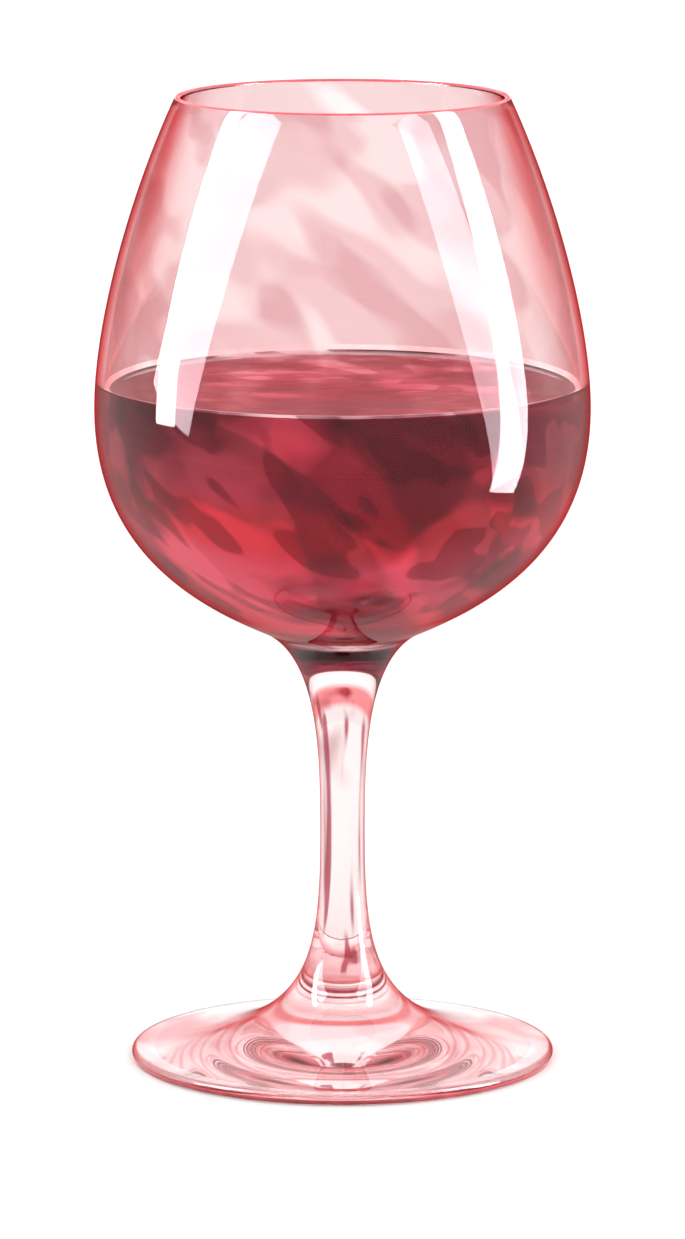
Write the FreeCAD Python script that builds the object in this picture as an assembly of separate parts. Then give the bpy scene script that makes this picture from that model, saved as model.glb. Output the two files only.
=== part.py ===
"""Glass of red wine: a wide-bellied stemmed glass in one piece, and the wine standing in it.

Millimetres, +Z up. The origin is on the axis of the glass, level with the underside of the foot.
"""

import FreeCAD, Part
import math
import os

# Foot
FOOT_DIAMETER = 94.0
FOOT_EDGE = 2.6  # thickness at the rounded edge
FOOT_SLOPE = 5.5  # degrees that the top rises from the edge towards the stem
FOOT_STRAIGHT = 0.95  # share of the way to the stem that keeps this slope
FOOT_RING = 4.0  # breadth of the flat ring that touches the table
FOOT_HOLLOW = 1.0  # rise of the underside inside that ring

# Stem
STEM_DIAMETER = 9.9  # at its thinnest
STEM_WAIST = 52.0  # height of the thinnest place
STEM_ROUND = 750.0  # radius of the outline at the thinnest place

# Bowl, outside
SEAT_DIAMETER = 36.0  # where the flare of the stem becomes the bowl
SEAT_HEIGHT = 96.7
SEAT_SLOPE = 24.0  # degrees above level
SEAT_STRAIGHT = 0.95  # share of the way to the stem that keeps this slope
BELLY_DIAMETER = 109.2
BELLY_RISE = 49.3  # from the seat up to the widest place
BELLY_ROUND = 66.0  # radius of the outline at the widest place
LOWER_STRAIGHT = 0.45  # share of the way to the belly that keeps the seat's slope
TAPER_RISE = 69.0  # from the widest place up to the top of the lip
MOUTH_DIAMETER = 73.5
MOUTH_LEAN = 25.0  # degrees that the wall leans inwards at the lip
UPPER_STRAIGHT = 0.56  # share of the way to the belly that keeps this lean

# Bowl, inside
LIP = 1.4  # thickness at the fire-rounded lip
WALL = 2.0  # thickness at the widest place
FLOOR_RISE = 1.4  # lowest point of the inside, above the seat
FLOOR_STRAIGHT = 0.42  # share of the way to the belly that the floor keeps level

# Wine
WINE_DEPTH = 52.6  # on the axis
MENISCUS_RISE = 1.8  # how far the wine climbs the glass
MENISCUS_WIDTH = 3.6

BELLY_HEIGHT = SEAT_HEIGHT + BELLY_RISE
HEIGHT = BELLY_HEIGHT + TAPER_RISE
FLOOR_HEIGHT = SEAT_HEIGHT + FLOOR_RISE
WINE_LEVEL = FLOOR_HEIGHT + WINE_DEPTH


def at(radius, height):
    """A point of an outline, in the plane that is turned about the axis."""
    return FreeCAD.Vector(radius, 0, height)


def around(centre, radius, degrees):
    """A point of a small rounding, at an angle above outwards."""
    angle = math.radians(degrees)
    return centre + at(radius * math.cos(angle), radius * math.sin(angle))


def line(start, end):
    return Part.LineSegment(start, end).toShape()


def arc(start, middle, end):
    return Part.Arc(start, middle, end).toShape()


def curve(poles):
    bezier = Part.BezierCurve()
    bezier.setPoles(poles)
    return bezier.toShape()


def sweep(end, slope, straight, upright, rounding):
    """The curve from a sloping end to a place where the outline stands upright.

    The end's slope is kept over a share of the breadth, called straight. The outline's radius at
    the upright place is the rounding, so two curves that meet there run on without a break.
    """
    breadth = upright.x - end.x
    lead = straight * breadth
    first = end + at(lead, lead * math.tan(math.radians(slope)))
    reach = math.sqrt(abs(breadth - lead) * rounding * 2 / 3)
    second = upright + at(0, math.copysign(reach, end.z - upright.z))
    return curve([end, first, second, upright])


def turned(edges):
    """The solid that a closed outline makes when it turns about the axis."""
    outline = Part.Wire(Part.__sortEdges__(edges))
    return Part.Face(outline).revolve(at(0, 0), FreeCAD.Vector(0, 0, 1), 360)


LIP_CENTRE = at((MOUTH_DIAMETER - LIP) / 2, HEIGHT - LIP / 2)
LIP_OUTSIDE = around(LIP_CENTRE, LIP / 2, MOUTH_LEAN)
LIP_INSIDE = around(LIP_CENTRE, LIP / 2, MOUTH_LEAN + 180)
FLOOR = at(0, FLOOR_HEIGHT)


def foot_outline():
    """The underside and the rounded edge, and the point where the top begins."""
    edge = FOOT_EDGE / 2
    edge_centre = at(FOOT_DIAMETER / 2 - edge, edge)
    ring_outside = around(edge_centre, edge, -90)
    ring_inside = ring_outside - at(FOOT_RING, 0)
    top = around(edge_centre, edge, 90 - FOOT_SLOPE)
    hollow = curve([at(0, FOOT_HOLLOW), at(ring_inside.x / 2, FOOT_HOLLOW), ring_inside])
    rounded = arc(ring_outside, around(edge_centre, edge, 0), top)
    return [hollow, line(ring_inside, ring_outside), rounded], top


def outside_outline(foot_top):
    """The top of the foot, the stem and the outside of the bowl."""
    waist = at(STEM_DIAMETER / 2, STEM_WAIST)
    seat = at(SEAT_DIAMETER / 2, SEAT_HEIGHT)
    belly = at(BELLY_DIAMETER / 2, BELLY_HEIGHT)
    return [
        sweep(foot_top, -FOOT_SLOPE, FOOT_STRAIGHT, waist, STEM_ROUND),
        sweep(seat, SEAT_SLOPE, SEAT_STRAIGHT, waist, STEM_ROUND),
        sweep(seat, SEAT_SLOPE, LOWER_STRAIGHT, belly, BELLY_ROUND),
        sweep(LIP_OUTSIDE, MOUTH_LEAN - 90, UPPER_STRAIGHT, belly, BELLY_ROUND),
    ]


def inside_outline():
    """The inside of the bowl: the floor up to the belly, and the belly up to the lip."""
    belly = at(BELLY_DIAMETER / 2 - WALL, BELLY_HEIGHT)
    rounding = BELLY_ROUND - WALL
    return [
        sweep(FLOOR, 0, FLOOR_STRAIGHT, belly, rounding),
        sweep(LIP_INSIDE, MOUTH_LEAN - 90, UPPER_STRAIGHT, belly, rounding),
    ]


def make_glass():
    underside, foot_top = foot_outline()
    lip = arc(LIP_OUTSIDE, around(LIP_CENTRE, LIP / 2, MOUTH_LEAN + 90), LIP_INSIDE)
    core = line(at(0, FOOT_HOLLOW), FLOOR)
    return turned(underside + outside_outline(foot_top) + [lip, core] + inside_outline())


def make_wine():
    """The inside of the bowl up to the level, with the edge climbing the glass in an arc."""
    inside = inside_outline()
    centre_top = at(0, LIP_INSIDE.z)
    cavity = turned(inside + [line(LIP_INSIDE, centre_top), line(centre_top, FLOOR)])

    level = at(0, WINE_LEVEL)
    across = line(level, at(BELLY_DIAMETER, WINE_LEVEL))
    wall = Part.Wire(inside).distToShape(across)[1][0][0].x
    climb = at(wall, WINE_LEVEL + MENISCUS_RISE)
    rounding = (MENISCUS_WIDTH**2 + MENISCUS_RISE**2) / (2 * MENISCUS_RISE)
    arc_centre = at(wall - MENISCUS_WIDTH, WINE_LEVEL + rounding)
    arc_start = around(arc_centre, rounding, -90)
    half_turn = math.degrees(math.atan(MENISCUS_RISE / MENISCUS_WIDTH))
    arc_middle = around(arc_centre, rounding, half_turn - 90)
    beyond = at(BELLY_DIAMETER, climb.z)
    corner = at(BELLY_DIAMETER, HEIGHT)
    top = at(0, HEIGHT)
    air = turned([
        line(level, arc_start),
        arc(arc_start, arc_middle, climb),
        line(climb, beyond),
        line(beyond, corner),
        line(corner, top),
        line(top, level),
    ])
    return cavity.cut(air)


def main():
    os.makedirs("parts", exist_ok=True)
    for name, shape in (("glass", make_glass()), ("wine", make_wine())):
        solid, = shape.Solids
        solid.exportStep(f"parts/{name}.step")
        print(name, "volume", round(solid.Volume), "valid", solid.isValid())


main()
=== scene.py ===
"""The looks of a glass of red wine: a stemmed glass of faintly rosy crystal and the wine in it.

Metres, +Z up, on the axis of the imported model's glass.
"""

import math

import bmesh
import bpy
from mathutils import Euler, Matrix, Vector
from mathutils.geometry import interpolate_bezier


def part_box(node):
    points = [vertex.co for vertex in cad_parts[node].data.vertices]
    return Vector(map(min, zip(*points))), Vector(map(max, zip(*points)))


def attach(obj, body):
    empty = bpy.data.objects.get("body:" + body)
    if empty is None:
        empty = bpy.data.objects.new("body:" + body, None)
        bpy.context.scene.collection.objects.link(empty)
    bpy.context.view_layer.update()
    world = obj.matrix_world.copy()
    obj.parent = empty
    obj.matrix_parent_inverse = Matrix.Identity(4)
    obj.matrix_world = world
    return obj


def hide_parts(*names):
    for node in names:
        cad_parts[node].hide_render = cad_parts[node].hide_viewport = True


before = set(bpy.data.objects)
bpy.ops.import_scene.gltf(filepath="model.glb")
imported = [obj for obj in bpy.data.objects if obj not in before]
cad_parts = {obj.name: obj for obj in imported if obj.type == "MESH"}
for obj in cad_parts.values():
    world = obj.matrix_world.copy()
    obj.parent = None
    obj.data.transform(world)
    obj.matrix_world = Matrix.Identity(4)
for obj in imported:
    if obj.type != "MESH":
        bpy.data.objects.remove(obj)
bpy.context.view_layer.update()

bl_info = {
    "name": "Glass of Red Wine",
    "version": (1, 0, 0),
    "blender": (4, 5, 0),
    "location": "View3D > Sidebar > Wine Glass",
    "description": "Turns a stemmed glass, pours red wine into it and sets up a pale studio",
    "category": "Object",
}

MM = 0.001
WHITE = (1.0, 1.0, 1.0)
GLASS_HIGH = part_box("glass")[1]
WINE_LOW, WINE_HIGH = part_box("wine")

# Steps along each small rounding of the outlines.
FOOT_STEPS = 12
LIP_STEPS = 14
CLIMB_STEPS = 14

# The values of each pattern's noise between which its first tone gives way to its second.
WASH_FADE = (0.48, 0.53)
STREAK_FADE = (0.58, 0.68)
EDGE_FADE = (0.35, 0.75)
PASSAGE_FADE = (0.44, 0.54)
STROKE_FADE = (0.48, 0.515)

# Where the looks of the upright walls, the silhouettes and the stem start, and where they are full.
UPRIGHT = (0.15, 0.5)  # how much of the normal points away from the axis
# The Facings between which the stain deepens to its painted edge shade.
SILHOUETTE = (0.45, 0.80)  # Facing of Layer Weight
SLENDER = (12 * MM, 8 * MM)  # distance from the axis
STEM_CLEARING = 0.2  # taken off the noise of the washes, so that the stem stays clear of them

# Tones of the surroundings, each at the sine of its angle above level.
ZONES = ((0.05, "horizon"), (0.09, "wall"), (0.20, "wall"), (0.27, "ceiling"))

# Light turns about many times within the walls and the wine before it comes out.
BOUNCES = 32


# Colours and properties


def linear(hex_colour):
    """The linear red, green and blue of an sRGB hex colour."""
    parts = [int(hex_colour[i:i + 2], 16) / 255 for i in (1, 3, 5)]
    return tuple(c / 12.92 if c <= 0.04045 else ((c + 0.055) / 1.055) ** 2.4 for c in parts)


def length(name, description, default):
    return bpy.props.FloatProperty(
        name=name, description=description, default=default, min=0, unit="LENGTH", subtype="DISTANCE")


def angle(name, description, degrees):
    return bpy.props.FloatProperty(
        name=name, description=description, default=math.radians(degrees), subtype="ANGLE")


def share(name, description, default):
    return bpy.props.FloatProperty(
        name=name, description=description, default=default, min=0, max=1, subtype="FACTOR")


def number(name, description, default):
    return bpy.props.FloatProperty(name=name, description=description, default=default)


def colour(name, description, hex_colour):
    return bpy.props.FloatVectorProperty(
        name=name, description=description, default=linear(hex_colour), subtype="COLOR", min=0, max=1)


class GlassSizes(bpy.types.PropertyGroup):
    """The outline of the glass, which is turned about its axis."""

    height: length("Height", "Top of the lip above the table", GLASS_HIGH.z)
    foot_diameter: length("Foot Diameter", "Across the foot", 94.0 * MM)
    foot_edge: length("Foot Edge", "Thickness of the foot at its rounded edge", 2.6 * MM)
    foot_slope: angle("Foot Slope", "Rise of the foot's top towards the stem", 5.5)
    foot_straight: share("Foot Straight", "Share of the way to the stem that keeps this slope", 0.95)
    foot_ring: length("Foot Ring", "Breadth of the flat ring under the foot", 4.0 * MM)
    foot_hollow: length("Foot Hollow", "Rise of the underside inside the ring", 1.0 * MM)
    stem_diameter: length("Stem Diameter", "Across the stem at its thinnest", 9.9 * MM)
    stem_waist: length("Stem Waist", "Height of the thinnest place", 52.0 * MM)
    stem_round: length("Stem Round", "Radius of the outline at the thinnest place", 750.0 * MM)
    seat_diameter: length("Seat Diameter", "Where the stem's flare becomes the bowl", 36.0 * MM)
    seat_height: length("Seat Height", "Height of that place", 96.7 * MM)
    seat_slope: angle("Seat Slope", "Slope of the outline at that place", 24.0)
    seat_straight: share("Seat Straight", "Share of the way to the stem that keeps this slope", 0.95)
    belly_diameter: length("Belly Diameter", "Across the bowl at its widest", 109.2 * MM)
    belly_height: length("Belly Height", "Height of the widest place", 146.0 * MM)
    belly_round: length("Belly Round", "Radius of the outline at the widest place", 66.0 * MM)
    lower_straight: share("Lower Straight", "Share of the way to the belly on the seat's slope", 0.45)
    mouth_diameter: length("Mouth Diameter", "Across the lip", 73.5 * MM)
    mouth_lean: angle("Mouth Lean", "Inward lean of the wall at the lip", 25.0)
    upper_straight: share("Upper Straight", "Share of the way to the belly that keeps this lean", 0.56)
    lip: length("Lip", "Thickness at the fire-rounded lip", 1.4 * MM)
    # The lip line and the foot line are painted shade: crimson for the dark edges of the glass.
    lip_line: length("Lip Line", "Height of the crimson line at the top of the lip", 0.5 * MM)
    foot_line: length("Foot Line", "Breadth of the crimson line round the foot", 1.0 * MM)
    foot_line_top: length("Foot Line Top", "Upper end of that line above the table", 1.4 * MM)
    wall: length("Wall", "Thickness at the widest place", 2.0 * MM)
    floor_height: length("Floor Height", "Lowest point inside the bowl", WINE_LOW.z)
    floor_straight: share("Floor Straight", "Share of the way to the belly that stays level", 0.42)
    around: bpy.props.IntProperty(
        name="Steps Around", description="Faces round the axis", default=192, min=24)
    along: bpy.props.IntProperty(
        name="Steps Along", description="Points on each curve of the outline", default=36, min=6)


class WineSizes(bpy.types.PropertyGroup):
    """The wine's surface, and how it meets the glass."""

    climb: length("Climb", "How far the wine climbs the glass", 1.3 * MM)
    climb_breadth: length("Climb Breadth", "How far from the glass it starts to climb", 2.6 * MM)
    line: length("Line", "Height of the pale line at the top of the wine's side", 1.0 * MM)
    reach: length("Reach", "How far the wine reaches into the wall, so that no gap shows", 0.25 * MM)


class Finishes(bpy.types.PropertyGroup):
    """Colours that light takes on in the glass and in the wine, the painted shade and highlight in
    them, and the sizes of their patterns.
    """

    glass_index: number("Glass Index", "Refraction of the glass", 1.52)
    glass_tint: colour("Glass Tint", "Light left by the absorbed part in the glass", "#E6888E")
    glass_depth: number("Glass Depth", "Absorption of the glass for each metre", 7.0)
    gleam: colour("Gleam", "Share of the pale room that the glass mirrors head on", "#B4AAB2")
    # At full weight, at the silhouettes, this stain is painted shade for the dark edges of the glass.
    stain: colour("Stain", "Rosy stain on the glass at its full weight", "#F6DADB")
    stain_share: share("Stain Share", "Share of that weight where the glass is seen straight on", 0.30)
    stain_index: number("Stain Index", "Refraction of the stain: the lower, the deeper its edges", 1.0008)
    slant: angle("Slant", "Slant of the washes and strokes", 42)
    # The washes are painted shade: patches of deeper rose for the darker reflections in the glass.
    wash: colour("Wash", "Deeper washes of rose in the glass", "#F1DFE1")
    wash_breadth: length("Wash Breadth", "Across a wash", 15.0 * MM)
    wash_stretch: number("Wash Stretch", "Length of a wash over its breadth", 2.2)
    # The streaks are painted shade: crimson lines along the stem for the dark reflections in it.
    streak: colour("Streak", "Crimson streaks drawn out along the stem", "#95303F")
    streak_breadth: length("Streak Breadth", "Across a streak", 2.6 * MM)
    streak_stretch: number("Streak Stretch", "Length of a streak over its breadth", 20.0)
    # Painted shade: the crimson of the lines at the lip and round the foot's edge.
    edge: colour("Edge", "Crimson line along the lip and the foot's edge", "#8E3038")
    wine_index: number("Wine Index", "Refraction of the wine", 1.345)
    wine_tint: colour("Wine Tint", "Light left by the absorbed part in the wine", "#F7B6CB")
    wine_depth: number("Wine Depth", "Absorption of the wine for each metre", 60.0)
    wine_gleam: colour("Wine Gleam", "Share of the pale room that the wine mirrors head on", "#7C6A74")
    # Passages and strokes are painted shade in the wine.
    passage: colour("Passage", "Tint of the deeper passages in the wine", "#6C4250")
    passage_breadth: length("Passage Breadth", "Across a passage", 24.0 * MM)
    passage_tilt: angle("Passage Tilt", "Turn of the passages about the view from the front", -30)
    passage_spread: share("Passage Spread", "Closeness of the passages across, over that upwards", 0.7)
    passage_place: bpy.props.FloatVectorProperty(
        name="Passage Place", description="Shift of the passages", unit="LENGTH", subtype="TRANSLATION",
        default=(-0.129, -0.131, 0.004))
    stroke: colour("Stroke", "Tint of the finer strokes in the wine", "#A27386")
    stroke_breadth: length("Stroke Breadth", "Across a stroke", 9.0 * MM)
    stroke_stretch: number("Stroke Stretch", "Length of a stroke over its breadth", 3.0)
    # The meniscus line is partly the paler rim that real wine has and partly a painted highlight, with a
    # glow of its own.
    meniscus: colour("Meniscus", "Pale line where the wine climbs the glass", "#BCA6A6")
    meniscus_painted_glow: number("Meniscus Glow", "Glow of that line, which the glass would darken", 2.0)
    floor: colour("Floor", "Paint of the studio floor", "#F6F3F2")


class StudioSizes(bpy.types.PropertyGroup):
    """The camera and the lights."""

    camera_distance: length("Camera Distance", "From the axis of the glass", 1.522)
    camera_height: length("Camera Height", "Above the table", 0.3761)
    camera_tilt: angle("Camera Tilt", "Below level", 10.324)
    camera_lens: bpy.props.FloatProperty(
        name="Focal Length", description="For a film side of 36 mm", default=203.3, unit="CAMERA")
    floor_size: length("Floor Size", "Side of the floor", 14.0)
    strip_top: length("Strip Top", "Upper end of the strip lights above the table", 0.50)
    world: number("Surroundings", "Brightness of the pale surroundings", 1.45)
    horizon: colour("Horizon", "Surroundings level with the table", "#E2E2E2")
    wall: colour("Wall", "Rosy zone of the surroundings above the horizon", "#E69194")
    ceiling: colour("Ceiling", "Surroundings overhead", "#F4FEFE")


# Outlines


def at(radius, height):
    """A point of an outline, in the plane that is turned about the axis."""
    return Vector((radius, 0.0, height))


def along_arc(centre, radius, start, end, steps):
    """Points along a small rounding, between two angles above outwards."""
    turns = [start + (end - start) * i / steps for i in range(steps + 1)]
    return [centre + radius * at(math.cos(t), math.sin(t)) for t in turns]


def sweep(end, slope, straight, upright, rounding, steps):
    """Points of the curve from a sloping end to a place where the outline stands upright.

    The end's slope is kept over a share of the breadth, called straight. The outline's radius at
    the upright place is the rounding, so two curves that meet there run on without a break.
    """
    breadth = upright.x - end.x
    lead = straight * breadth
    first = end + at(lead, lead * math.tan(slope))
    # This reach gives a Bezier that radius, because the curvature at its end is two thirds of the
    # far handle's offset over the square of the reach.
    reach = math.sqrt(abs(breadth - lead) * rounding * 2 / 3)
    second = upright + at(0, math.copysign(reach, end.z - upright.z))
    return interpolate_bezier(end, first, second, upright, steps)


def lip_centre(glass):
    return at((glass.mouth_diameter - glass.lip) / 2, glass.height - glass.lip / 2)


def inside_outline(glass, reach=0.0):
    """The inside of the bowl from its floor to the lip, or a line that far within the wall."""
    belly = at(glass.belly_diameter / 2 - glass.wall + reach, glass.belly_height)
    rounding = glass.belly_round - glass.wall + reach
    floor = at(0, glass.floor_height - reach)
    lean = glass.mouth_lean
    lip = lip_centre(glass) + (glass.lip / 2 - reach) * at(-math.cos(lean), -math.sin(lean))
    lower = sweep(floor, 0, glass.floor_straight, belly, rounding, glass.along)
    upper = sweep(lip, lean - math.pi / 2, glass.upper_straight, belly, rounding, glass.along)
    return lower + upper[-2::-1]


def glass_outline(glass):
    """The whole outline, from the middle of the underside round to the floor of the bowl."""
    edge = glass.foot_edge / 2
    edge_centre = at(glass.foot_diameter / 2 - edge, edge)
    ring = at(edge_centre.x - glass.foot_ring, 0)
    hollow = at(0, glass.foot_hollow)
    underside = interpolate_bezier(
        hollow, at(ring.x / 3, hollow.z), at(ring.x * 2 / 3, hollow.z * 2 / 3), ring, glass.along // 2)
    rounded_edge = along_arc(
        edge_centre, edge, -math.pi / 2, math.pi / 2 - glass.foot_slope, FOOT_STEPS)

    waist = at(glass.stem_diameter / 2, glass.stem_waist)
    seat = at(glass.seat_diameter / 2, glass.seat_height)
    belly = at(glass.belly_diameter / 2, glass.belly_height)
    lean = glass.mouth_lean
    lip = along_arc(lip_centre(glass), glass.lip / 2, lean, lean + math.pi, LIP_STEPS)
    foot_top = sweep(rounded_edge[-1], -glass.foot_slope, glass.foot_straight,
                     waist, glass.stem_round, glass.along)
    neck = sweep(seat, glass.seat_slope, glass.seat_straight, waist, glass.stem_round, glass.along)
    lower = sweep(seat, glass.seat_slope, glass.lower_straight, belly, glass.belly_round, glass.along)
    upper = sweep(lip[0], lean - math.pi / 2, glass.upper_straight, belly, glass.belly_round, glass.along)
    return (underside + rounded_edge + foot_top[1:] + neck[-2::-1] + lower[1:] + upper[-2::-1]
            + lip[1:] + inside_outline(glass)[-2::-1])


def point_at(line, height):
    """The point of a rising line at a height."""
    upper = next(i for i, point in enumerate(line) if point.z >= height)
    low, high = line[upper - 1], line[upper]
    return low.lerp(high, (height - low.z) / (high.z - low.z))


def wine_outline(glass, wine):
    """The wine's side, a little within the wall, then its edge and its level surface."""
    level = WINE_HIGH.z - wine.climb
    top = WINE_HIGH.z
    side = inside_outline(glass, wine.reach)
    below = [p for p in side if p.z < top - wine.line]
    contact = [point_at(side, height) for height in (top - wine.line, top)]
    wall = contact[-1].x - wine.reach
    rounding = (wine.climb_breadth ** 2 + wine.climb ** 2) / (2 * wine.climb)
    centre = at(wall - wine.climb_breadth, level + rounding)
    turn = 2 * math.atan(wine.climb / wine.climb_breadth)
    edge = along_arc(centre, rounding, turn - math.pi / 2, -math.pi / 2, CLIMB_STEPS)
    return below + contact + edge + [at(0, level)]


def turned_object(name, outline, steps):
    """An object made by turning an outline once about the axis."""
    mesh = bmesh.new()
    corners = [mesh.verts.new(point) for point in outline]
    edges = [mesh.edges.new(pair) for pair in zip(corners, corners[1:])]
    bmesh.ops.spin(mesh, geom=corners + edges, cent=(0, 0, 0), axis=(0, 0, 1),
                   angle=math.tau, steps=steps, use_merge=True)
    bmesh.ops.remove_doubles(mesh, verts=mesh.verts, dist=0.001 * MM)
    bmesh.ops.recalc_face_normals(mesh, faces=mesh.faces)
    data = bpy.data.meshes.new(name)
    mesh.to_mesh(data)
    mesh.free()
    data.shade_smooth()
    made = bpy.data.objects.new(name, data)
    bpy.context.scene.collection.objects.link(made)
    return made


def line_faces(piece, low, high):
    """Gives the second material to each face whose middle lies between two radii and two heights."""
    for face in piece.data.polygons:
        radius = math.hypot(face.center.x, face.center.y)
        if low[0] <= radius <= high[0] and low[1] <= face.center.z <= high[1]:
            face.material_index = 1


# Materials


def add_node(tree, kind, *values, settings=None, **inputs):
    """Adds a node, with its settings, and sets or links its inputs in order or by name."""
    node = tree.nodes.new(kind)
    for name, value in (settings or {}).items():
        setattr(node, name, value)
    sockets = [(node.inputs[place], value) for place, value in enumerate(values)]
    sockets += [(node.inputs[name.replace("_", " ")], value) for name, value in inputs.items()]
    for socket, value in sockets:
        if isinstance(value, bpy.types.NodeSocket):
            tree.links.new(value, socket)
        else:
            socket.default_value = value
    return node


def new_material(name):
    """An empty node material and its tree."""
    material = bpy.data.materials.new(name)
    material.use_nodes = True
    material.node_tree.nodes.clear()
    return material, material.node_tree


def slanting(tree, place, slant, breadth, stretch):
    """A noise drawn out along a slant, from the upper left of the front to its lower right."""
    turned = add_node(tree, "ShaderNodeMapping", settings={"vector_type": "TEXTURE"}, Vector=place,
                      Rotation=(0, slant, 0), Scale=(stretch, 1, 1))
    return add_node(tree, "ShaderNodeTexNoise", Vector=turned.outputs["Vector"], Scale=1 / breadth,
                    Detail=1.0).outputs["Fac"]


def two_tones(tree, amount, fade, first, second):
    """A ramp from one colour to another between the two amounts of the fade."""
    ramp = add_node(tree, "ShaderNodeValToRGB", Fac=amount)
    for stop, position, tone in zip(ramp.color_ramp.elements, fade, (first, second)):
        stop.position = position
        stop.color = (*tone, 1)
    return ramp.outputs["Color"]


def axis_distance(tree, place):
    """The direction from the axis, level with the point, and how far the point is from it."""
    flat = add_node(tree, "ShaderNodeVectorMath", place, (1, 1, 0), settings={"operation": "MULTIPLY"})
    outwards = add_node(tree, "ShaderNodeVectorMath", flat.outputs[0], settings={"operation": "NORMALIZE"})
    away = add_node(tree, "ShaderNodeVectorMath", flat.outputs[0], settings={"operation": "LENGTH"})
    return outwards.outputs["Vector"], away.outputs["Value"]


def crystal(finish):
    """Fire-polished rosy crystal.

    The flame leaves a smooth skin, so the glass is clear and mirrors sharply. Its thin rosy stain
    is pale seen straight on and deeper where the eye meets the wall along its surface, as a real
    stain is. A Layer Weight deepens it further to crimson at the silhouettes, which is painted
    shade for the dark edges of the glass.
    """
    material, tree = new_material("Fire-polished rosy crystal")
    place = add_node(tree, "ShaderNodeTexCoord").outputs["Object"]
    outwards, away = axis_distance(tree, place)
    slender = add_node(tree, "ShaderNodeMapRange", Value=away, From_Min=SLENDER[0], From_Max=SLENDER[1])

    # Slow waves left by the blowing, and a breath of haze.
    waves = add_node(tree, "ShaderNodeTexNoise", Vector=place, Scale=1 / (38 * MM), Detail=1.0)
    bump = add_node(
        tree, "ShaderNodeBump", Height=waves.outputs["Fac"], Strength=0.12, Distance=0.3 * MM)
    haze = add_node(tree, "ShaderNodeTexNoise", Vector=place, Scale=1 / (9 * MM), Detail=4.0)
    rough = add_node(tree, "ShaderNodeMapRange", Value=haze.outputs["Fac"], To_Min=0.0, To_Max=0.02)

    # The stain lies on the upright walls, so that the foot stays pale. Toward the silhouettes a Layer
    # Weight deepens it to crimson: painted shade for the dark edges of the glass.
    # A normal turns round on a wall seen from behind, so only its amount counts.
    normal = add_node(tree, "ShaderNodeNewGeometry").outputs["Normal"]
    facing = add_node(
        tree, "ShaderNodeVectorMath", normal, outwards, settings={"operation": "DOT_PRODUCT"})
    upright = add_node(
        tree, "ShaderNodeMath", facing.outputs["Value"], settings={"operation": "ABSOLUTE"})
    stained = add_node(tree, "ShaderNodeMapRange", Value=upright.outputs["Value"],
                       From_Min=UPRIGHT[0], From_Max=UPRIGHT[1])
    # Painted shade: the stain's weight rises from its share to full as the wall turns edge-on.
    layer = add_node(tree, "ShaderNodeLayerWeight", Blend=0.5)
    painted_edge_shade = add_node(tree, "ShaderNodeMapRange", Value=layer.outputs["Facing"],
                        From_Min=SILHOUETTE[0], From_Max=SILHOUETTE[1], To_Min=finish.stain_share)
    stain = add_node(tree, "ShaderNodeMath", stained.outputs["Result"], painted_edge_shade.outputs["Result"],
                     settings={"operation": "MULTIPLY"})

    # Slanting washes of deeper rose in the bowl and the foot, painted shade for the darker reflections
    # in the glass, and crimson streaks along the stem, painted shade for its dark reflections.
    washes = slanting(tree, place, finish.slant, finish.wash_breadth, finish.wash_stretch)
    clear_stem = add_node(tree, "ShaderNodeMath", slender.outputs["Result"], -STEM_CLEARING, washes,
                          settings={"operation": "MULTIPLY_ADD"})
    wash = two_tones(tree, clear_stem.outputs["Value"], WASH_FADE, WHITE, finish.wash)
    # Painted shade: crimson streaks drawn out along the stem, kept to its slender part.
    drawn = add_node(
        tree, "ShaderNodeMapping", Vector=place, Scale=(1, 1, 1 / finish.streak_stretch))
    streaks = add_node(tree, "ShaderNodeTexNoise", Vector=drawn.outputs["Vector"],
                       Scale=1 / finish.streak_breadth, Detail=1.0)
    streak = add_node(tree, "ShaderNodeMath", streaks.outputs["Fac"], slender.outputs["Result"],
                      settings={"operation": "MULTIPLY"})
    painted_streak_shade = two_tones(tree, streak.outputs["Value"], STREAK_FADE, WHITE, finish.streak)
    # The glass's base colour is only these two patterns of painted shade.
    tint = add_node(tree, "ShaderNodeVectorMath", wash, painted_streak_shade, settings={"operation": "MULTIPLY"})

    surface = add_node(
        tree, "ShaderNodeBsdfPrincipled", Base_Color=tint.outputs["Vector"], Transmission_Weight=1.0,
        IOR=finish.glass_index, Roughness=rough.outputs["Result"], Normal=bump.outputs["Normal"],
        Coat_Weight=stain.outputs["Value"], Coat_Roughness=0.0, Coat_IOR=finish.stain_index,
        Coat_Tint=(*finish.stain, 1), Specular_Tint=(*finish.gleam, 1))
    inside = add_node(
        tree, "ShaderNodeVolumeAbsorption", Color=(*finish.glass_tint, 1), Density=finish.glass_depth)
    add_node(tree, "ShaderNodeOutputMaterial",
             Surface=surface.outputs["BSDF"], Volume=inside.outputs["Volume"])
    return material


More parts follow.
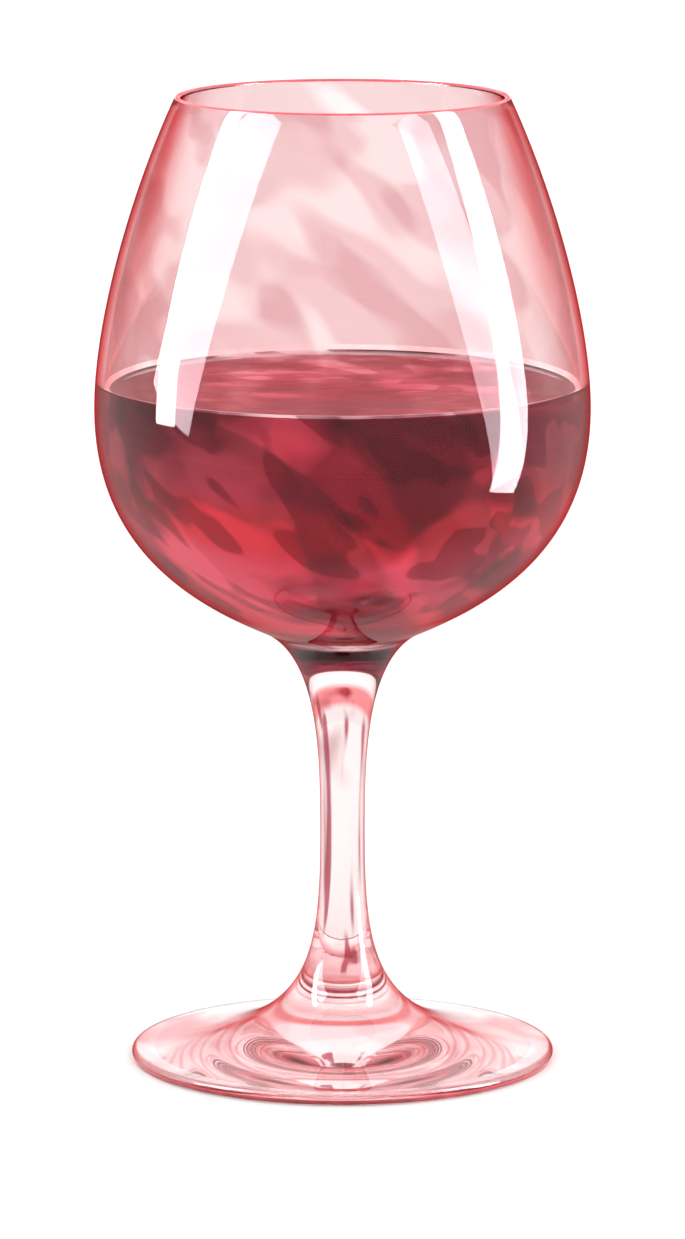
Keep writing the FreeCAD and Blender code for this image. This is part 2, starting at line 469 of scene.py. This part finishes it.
def edge_line(name, line, tint, depth, index, painted_glow=0.0):
    """A line of colour along an edge, thin enough for a quarter of the light to pass.

    On the glass it is crimson, painted shade for the dark lip and foot edge. On the wine it is pale
    and glows, a painted highlight along the top of the wine's side, partly the paler rim that real
    wine has. It breaks up into paler and deeper places, as a line left by a brush or a wet edge does.
    """
    material, tree = new_material(name)
    place = add_node(tree, "ShaderNodeTexCoord").outputs["Object"]
    mottle = add_node(tree, "ShaderNodeTexNoise", Vector=place, Scale=1 / (4 * MM), Detail=2.0)
    paler = [min(1, 1.6 * c) for c in line]
    tone = two_tones(tree, mottle.outputs["Fac"], EDGE_FADE, line, paler)
    surface = add_node(
        tree, "ShaderNodeBsdfPrincipled", Base_Color=tone, Transmission_Weight=0.25,
        IOR=index, Roughness=0.12, Emission_Color=(*line, 1), Emission_Strength=painted_glow)
    inside = add_node(tree, "ShaderNodeVolumeAbsorption", Color=(*tint, 1), Density=depth)
    add_node(tree, "ShaderNodeOutputMaterial",
             Surface=surface.outputs["BSDF"], Volume=inside.outputs["Volume"])
    return material


def red_wine(finish):
    """Dry red wine: clear, so it is crimson where light comes through and near maroon where it is deep."""
    material, tree = new_material("Dry red wine")
    place = add_node(tree, "ShaderNodeTexCoord").outputs["Object"]

    # The surface is hardly ever quite still.
    ripple = add_node(tree, "ShaderNodeTexNoise", Vector=place, Scale=1 / (45 * MM), Detail=1.0)
    bump = add_node(
        tree, "ShaderNodeBump", Height=ripple.outputs["Fac"], Strength=0.1, Distance=0.2 * MM)

    # Broad deeper passages, and finer strokes on a slant: painted shade, where the wine looks darker
    # for want of light through it.
    turned = add_node(
        tree, "ShaderNodeMapping", Vector=place, Location=finish.passage_place,
        Rotation=(0, finish.passage_tilt, 0), Scale=(finish.passage_spread, 1, 1))
    drift = add_node(tree, "ShaderNodeTexNoise", Vector=turned.outputs["Vector"],
                     Scale=1 / finish.passage_breadth, Detail=2.0)
    passages = two_tones(tree, drift.outputs["Fac"], PASSAGE_FADE, finish.passage, WHITE)
    marks = slanting(tree, place, finish.slant, finish.stroke_breadth, finish.stroke_stretch)
    strokes = two_tones(tree, marks, STROKE_FADE, finish.stroke, WHITE)
    # The wine's base colour is only this painted shade.
    tint = add_node(tree, "ShaderNodeVectorMath", passages, strokes, settings={"operation": "MULTIPLY"})

    surface = add_node(
        tree, "ShaderNodeBsdfPrincipled", Base_Color=tint.outputs["Vector"], Transmission_Weight=1.0,
        IOR=finish.wine_index, Roughness=0.0, Normal=bump.outputs["Normal"],
        Specular_Tint=(*finish.wine_gleam, 1))
    inside = add_node(
        tree, "ShaderNodeVolumeAbsorption", Color=(*finish.wine_tint, 1), Density=finish.wine_depth)
    add_node(tree, "ShaderNodeOutputMaterial",
             Surface=surface.outputs["BSDF"], Volume=inside.outputs["Volume"])
    return material


def painted_floor(finish):
    """Matt studio paint: rolled on, so it is pale and even and has almost no gloss."""
    material, tree = new_material("Matt studio paint")
    surface = add_node(tree, "ShaderNodeBsdfPrincipled", Base_Color=(*finish.floor, 1), Roughness=0.9,
                       Specular_IOR_Level=0.1)
    add_node(tree, "ShaderNodeOutputMaterial", Surface=surface.outputs["BSDF"])
    return material


# Operators


class TurnGlass(bpy.types.Operator):
    """Turn the bowl, stem and foot in one piece"""

    bl_idname = "wine_glass.turn_glass"
    bl_label = "Turn Glass"

    def execute(self, context):
        sizes = context.scene.glass_sizes
        piece = turned_object("turned_glass", glass_outline(sizes), sizes.around)
        finish = context.scene.finishes
        piece.data.materials.append(crystal(finish))
        # The second material, a crimson line at the lip and round the foot, is painted shade.
        piece.data.materials.append(edge_line(
            "Crimson edge of crystal", finish.edge, finish.glass_tint, finish.glass_depth,
            finish.glass_index))
        mouth = sizes.mouth_diameter / 2
        foot = sizes.foot_diameter / 2
        line_faces(piece, (0, sizes.height - sizes.lip_line), (mouth, sizes.height))
        line_faces(piece, (foot - sizes.foot_line, 0), (foot, sizes.foot_line_top))
        bpy.data.collections["Lit by the strips"].objects.link(piece)
        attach(piece, "root")
        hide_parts("glass")
        return {"FINISHED"}


class PourWine(bpy.types.Operator):
    """Fill the bowl with wine up to its level"""

    bl_idname = "wine_glass.pour_wine"
    bl_label = "Pour Wine"

    def execute(self, context):
        scene = context.scene
        outline = wine_outline(scene.glass_sizes, scene.wine_sizes)
        piece = turned_object("poured_wine", outline, scene.glass_sizes.around)
        finish = scene.finishes
        piece.data.materials.append(red_wine(finish))
        # The second material, a pale glowing line at the top of the wine's side, is partly painted
        # highlight.
        piece.data.materials.append(edge_line(
            "Pale edge of wine", finish.meniscus, finish.wine_tint, finish.wine_depth,
            finish.wine_index, finish.meniscus_painted_glow))
        line_faces(piece, (0, WINE_HIGH.z - scene.wine_sizes.line), (WINE_HIGH.x, WINE_HIGH.z))
        bpy.data.collections["Lit by the strips"].objects.link(piece)
        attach(piece, "root")
        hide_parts("wine")
        return {"FINISHED"}


def soft_light(name, width, low, high, distance, bearing, roll, power):
    """A strip softbox at a bearing from the front, between two heights, turned to face the glass.

    Its top leans by the roll, towards the front where that has the sign of the bearing.
    """
    lamp = bpy.data.lights.new(name, "AREA")
    lamp.shape = "RECTANGLE"
    lamp.size = width
    lamp.size_y = high - low
    lamp.energy = power
    made = bpy.data.objects.new(name, lamp)
    turn = math.radians(bearing)
    made.location = (distance * math.sin(turn), -distance * math.cos(turn), (low + high) / 2)
    facing = Euler((math.pi / 2, 0, turn)).to_matrix()
    made.rotation_euler = (facing @ Matrix.Rotation(math.radians(roll), 3, "Z")).to_euler()
    bpy.context.scene.collection.objects.link(made)
    return made


class SetStudio(bpy.types.Operator):
    """Lay the pale floor and set the lights and the camera"""

    bl_idname = "wine_glass.set_studio"
    bl_label = "Set Studio"

    def execute(self, context):
        scene = context.scene
        studio = scene.studio_sizes
        self.lay_floor(scene, studio)
        self.light(scene, studio)
        self.place_camera(scene, studio)
        return {"FINISHED"}

    def lay_floor(self, scene, studio):
        mesh = bmesh.new()
        bmesh.ops.create_grid(mesh, x_segments=1, y_segments=1, size=studio.floor_size / 2)
        data = bpy.data.meshes.new("studio_floor")
        mesh.to_mesh(data)
        mesh.free()
        floor = bpy.data.objects.new("studio_floor", data)
        data.materials.append(painted_floor(scene.finishes))
        scene.collection.objects.link(floor)

    def light(self, scene, studio):
        world = bpy.data.worlds.new("Pale surroundings")
        world.use_nodes = True
        tree = world.node_tree
        tree.nodes.clear()
        direction = add_node(tree, "ShaderNodeTexCoord").outputs["Generated"]
        up = add_node(tree, "ShaderNodeSeparateXYZ", Vector=direction).outputs["Z"]
        ramp = add_node(tree, "ShaderNodeValToRGB", Fac=up)
        stops = ramp.color_ramp.elements
        for rise, tone in ZONES:
            stops.new(rise).color = (*getattr(studio, tone), 1)
        stops.remove(stops[0])
        stops.remove(stops[-1])
        background = add_node(
            tree, "ShaderNodeBackground", Color=ramp.outputs["Color"], Strength=studio.world)
        add_node(tree, "ShaderNodeOutputWorld", Surface=background.outputs["Background"])
        scene.world = world
        scene.view_settings.view_transform = "Standard"
        scene.cycles.max_bounces = BOUNCES
        scene.cycles.transmission_bounces = BOUNCES
        scene.cycles.glossy_bounces = BOUNCES
        self.set_strips(studio.strip_top)

    def set_strips(self, top):
        """Two strips a side, for the fanned highlights. Light through the glass doesn't show them."""
        lit = bpy.data.collections.new("Lit by the strips")
        strips = (
            soft_light("right_strip", width=0.085, low=0.0, high=top,
                       distance=0.30, bearing=79, roll=0, power=4.0),
            soft_light("right_fan", width=0.10, low=0.0, high=top,
                       distance=0.31, bearing=64, roll=22, power=2.6),
            soft_light("left_strip", width=0.06, low=0.12, high=top,
                       distance=0.30, bearing=-82, roll=0, power=2.8),
            soft_light("left_fan", width=0.14, low=0.12, high=top,
                       distance=0.31, bearing=-68, roll=-22, power=3.6),
        )
        for strip in strips:
            strip.light_linking.receiver_collection = lit
            strip.visible_transmission = False

    def place_camera(self, scene, studio):
        camera = bpy.data.cameras.new("camera")
        camera.lens = studio.camera_lens
        camera.sensor_width = 36.0
        made = bpy.data.objects.new("camera", camera)
        made.location = (0.0, -studio.camera_distance, studio.camera_height)
        made.rotation_euler = (math.pi / 2 - studio.camera_tilt, 0, 0)
        scene.collection.objects.link(made)
        scene.camera = made


class WineGlassPanel(bpy.types.Panel):
    """The pieces of the glass of wine and its studio"""

    bl_idname = "VIEW3D_PT_wine_glass"
    bl_label = "Glass of Red Wine"
    bl_space_type = "VIEW_3D"
    bl_region_type = "UI"
    bl_category = "Wine Glass"

    def draw(self, context):
        for operator in OPERATORS:
            self.layout.operator(operator.bl_idname)
        for name in SETTINGS:
            group = getattr(context.scene, name)
            for key in group.__annotations__:
                self.layout.prop(group, key)


SETTINGS = {
    "glass_sizes": GlassSizes,
    "wine_sizes": WineSizes,
    "finishes": Finishes,
    "studio_sizes": StudioSizes,
}
OPERATORS = (SetStudio, TurnGlass, PourWine)


def register():
    for cls in (*SETTINGS.values(), *OPERATORS, WineGlassPanel):
        bpy.utils.register_class(cls)
    for name, cls in SETTINGS.items():
        setattr(bpy.types.Scene, name, bpy.props.PointerProperty(type=cls))


def unregister():
    for name in SETTINGS:
        delattr(bpy.types.Scene, name)
    for cls in (WineGlassPanel, *reversed(OPERATORS), *reversed(SETTINGS.values())):
        bpy.utils.unregister_class(cls)


def main():
    register()
    bpy.ops.wine_glass.set_studio()
    bpy.ops.wine_glass.turn_glass()
    bpy.ops.wine_glass.pour_wine()


if __name__ == "__main__":
    main()
